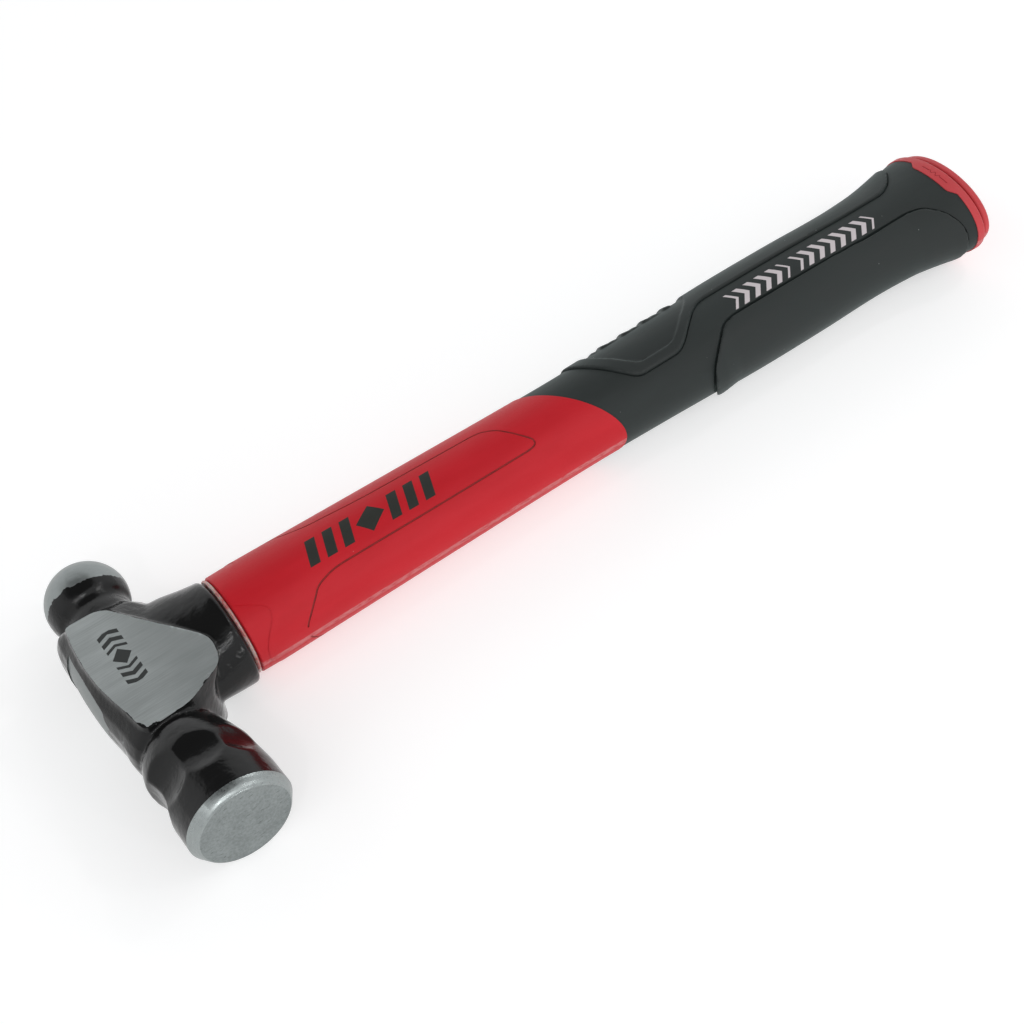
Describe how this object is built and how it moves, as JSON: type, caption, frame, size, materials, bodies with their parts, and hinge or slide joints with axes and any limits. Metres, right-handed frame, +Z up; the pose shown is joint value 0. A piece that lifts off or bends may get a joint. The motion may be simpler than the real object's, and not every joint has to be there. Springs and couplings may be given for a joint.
{
  "type": "ball peen hammer",
  "caption": "Hammer for metalwork with a flat chamfered face, a ball peen, ground cheeks and a moulded composite handle with a soft grip.",
  "frame": {"origin": "under the middle of the hammer as it lies on its side, on the surface it lies on", "axes": "+X from the head along the handle to the butt, +Y towards the ball peen with the striking face looking along -Y, +Z up through the upper cheek"},
  "size_m": [0.3305, 0.1098, 0.032],
  "materials": {
    "head_steel": "glossy black paint, with the face, ball, cheeks and crown ground back to bare steel",
    "resin": "cast epoxy, pale and translucent",
    "core": "pultruded composite rod",
    "jacket_red": "satin moulded red",
    "grip_black": "fine matt soft moulding",
    "pad_black": "fine matt soft moulding"
  },
  "bodies": {
    "root": {"head": "head_steel", "socket_resin": "resin", "resin_bead": "resin", "core_rod": "core", "jacket": "jacket_red", "grip_sleeve": "grip_black", "palm_pad": "pad_black", "thumb_pad": "pad_black", "butt_plug": "jacket_red"}
  },
  "joints": []
}
